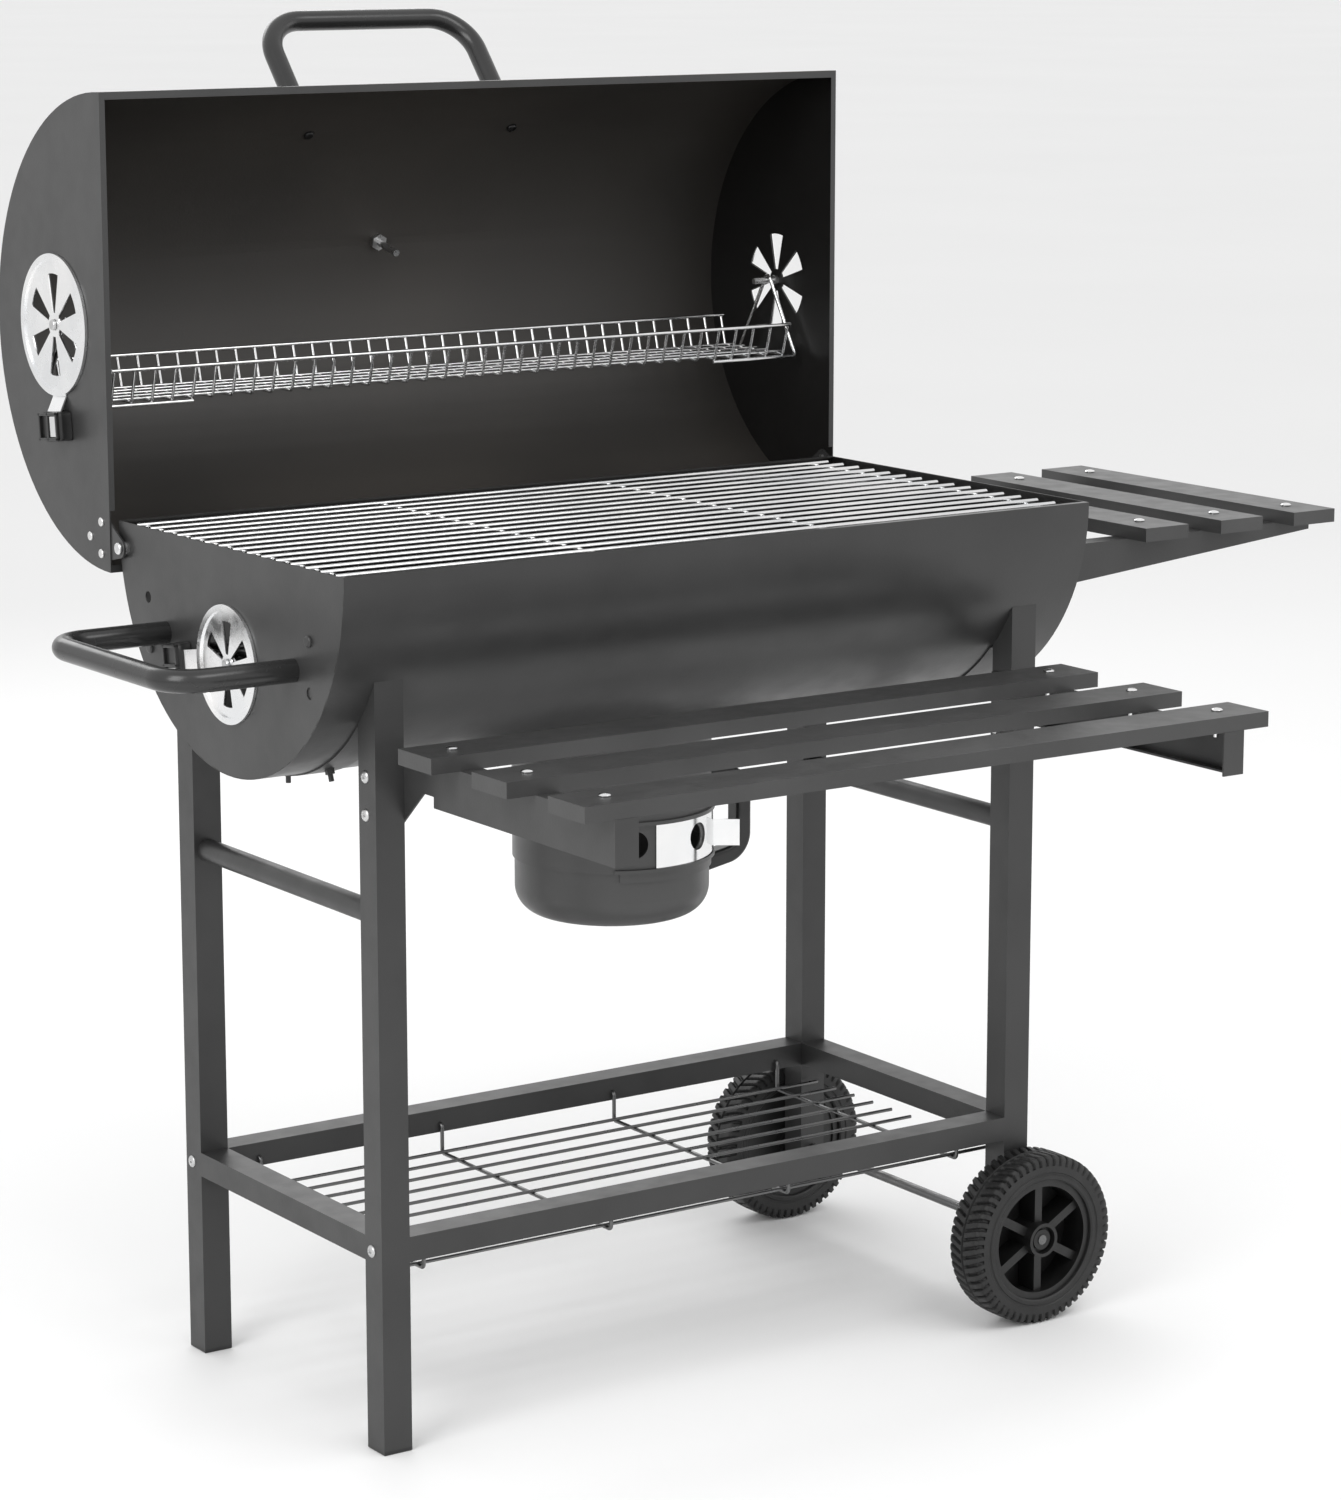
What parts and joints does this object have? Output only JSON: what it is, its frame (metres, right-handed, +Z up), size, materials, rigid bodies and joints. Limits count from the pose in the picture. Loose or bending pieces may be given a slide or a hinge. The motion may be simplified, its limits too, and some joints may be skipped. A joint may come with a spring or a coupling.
{
  "type": "barrel charcoal grill cart",
  "caption": "Barrel charcoal grill with hinged lid, warming rack, ash pot, front and side slat shelves on a wheeled tube-leg cart.",
  "frame": {"origin": "centre of the bottom of the bounding box, on the floor", "axes": "+Z up, X along the barrel with the side shelf and wheels at +X, -Y the cook's side with the front shelf"},
  "size_m": [1.359, 1.0062, 1.3018],
  "materials": {
    "black_plastic": "fine grain",
    "chrome": "bright plated",
    "enamel": "gloss black",
    "lid_coat": "satin charcoal powder coat",
    "steel_coat": "satin charcoal powder coat",
    "tread": "matte rubber",
    "wheel_plastic": "satin",
    "zinc": "zinc plated"
  },
  "bodies": {
    "cart": {"ash_collar": "steel_coat", "axle": "zinc", "axle_fittings": "zinc", "bowl_bolts": "steel_coat", "bowl_end_left": "steel_coat", "bowl_end_right": "steel_coat", "bowl_shell": "steel_coat", "bowl_vent_bolts": "zinc", "charcoal_grate": "enamel", "crossbars": "steel_coat", "damper_rails": "steel_coat", "frame_bolts": "chrome", "front_bracket_left": "steel_coat", "front_bracket_right": "steel_coat", "front_slats": "steel_coat", "grate_ledges": "steel_coat", "hinge_bolts": "zinc", "leg_feet": "black_plastic", "leg_front_left": "steel_coat", "leg_front_right": "steel_coat", "leg_rear_left": "steel_coat", "leg_rear_right": "steel_coat", "lower_shelf": "enamel", "rail_front": "steel_coat", "rail_rear": "steel_coat", "rails_side": "steel_coat", "saddle_bolts": "zinc", "saddles": "steel_coat", "shelf_screws": "chrome", "side_bracket_front": "steel_coat", "side_bracket_rear": "steel_coat", "side_handle": "steel_coat", "side_slats": "steel_coat"},
    "lid": {"lid_shell": "lid_coat", "lid_end_left": "lid_coat", "lid_end_right": "lid_coat", "hinge_plates": "steel_coat", "hinge_rivets": "zinc", "lid_handle": "steel_coat", "lid_bolts": "zinc", "thermometer": "zinc"},
    "lid_vent_left": {"lid_vent_left": "chrome", "lid_vent_grip_left": "black_plastic"},
    "lid_vent_right": {"lid_vent_right": "chrome", "lid_vent_grip_right": "black_plastic"},
    "bowl_vent_left": {"bowl_vent_left": "chrome", "bowl_vent_grip_left": "black_plastic"},
    "bowl_vent_right": {"bowl_vent_right": "chrome", "bowl_vent_grip_right": "black_plastic"},
    "rack": {"warming_rack": "chrome"},
    "grate": {"cooking_grate": "chrome"},
    "damper": {"ash_damper": "chrome"},
    "pot": {"ash_pot": "steel_coat", "ash_pot_handle": "black_plastic", "ash_pot_rivets": "zinc"},
    "wheel_front": {"wheel_hub_front": "wheel_plastic", "wheel_tyre_front": "tread"},
    "wheel_rear": {"wheel_hub_rear": "wheel_plastic", "wheel_tyre_rear": "tread"}
  },
  "joints": [
    {"name": "lid_hinge", "type": "hinge", "parent": "cart", "child": "lid", "pos_m": [-0.12405, 0.23218, 0.8057], "axis": [1, 0, 0], "range_deg": [0, 90]},
    {"name": "rack_swing", "type": "hinge", "parent": "lid", "child": "rack", "pos_m": [-0.12405, 0.35338, 1.01], "axis": [1, 0, 0], "range_deg": [-90, 0]},
    {"name": "lid_vent_left_turn", "type": "hinge", "parent": "lid", "child": "lid_vent_left", "pos_m": [-0.55505, 0.35338, 1.01], "axis": [1, 0, 0], "range_deg": [0, 30]},
    {"name": "lid_vent_right_turn", "type": "hinge", "parent": "lid", "child": "lid_vent_right", "pos_m": [0.30695, 0.35338, 1.01], "axis": [1, 0, 0], "range_deg": [0, 30]},
    {"name": "bowl_vent_left_turn", "type": "hinge", "parent": "cart", "child": "bowl_vent_left", "pos_m": [-0.54805, 0.02938, 0.7224], "axis": [1, 0, 0], "range_deg": [0, 30]},
    {"name": "bowl_vent_right_turn", "type": "hinge", "parent": "cart", "child": "bowl_vent_right", "pos_m": [0.29995, 0.02938, 0.7224], "axis": [1, 0, 0], "range_deg": [0, 30]},
    {"name": "ash_damper_turn", "type": "hinge", "parent": "cart", "child": "damper", "pos_m": [-0.12405, 0.02938, 0.516], "axis": [0, 0, 1], "range_deg": [-23.4, 0]},
    {"name": "ash_pot_drop", "type": "slide", "parent": "cart", "child": "pot", "axis": [0, 0, -1], "range_m": [0, 0.09]},
    {"name": "grate_lift", "type": "slide", "parent": "cart", "child": "grate", "axis": [0, 0, 1], "range_m": [0, 0.018]},
    {"name": "wheel_front_spin", "type": "hinge", "parent": "cart", "child": "wheel_front", "pos_m": [0.24065, -0.18462, 0.0876], "axis": [0, 1, 0], "continuous": true},
    {"name": "wheel_rear_spin", "type": "hinge", "parent": "cart", "child": "wheel_rear", "pos_m": [0.24065, 0.24338, 0.0876], "axis": [0, 1, 0], "continuous": true}
  ],
  "couplings": [
    {"joint": "rack_swing", "follows": "lid_hinge", "ratio": -1}
  ]
}
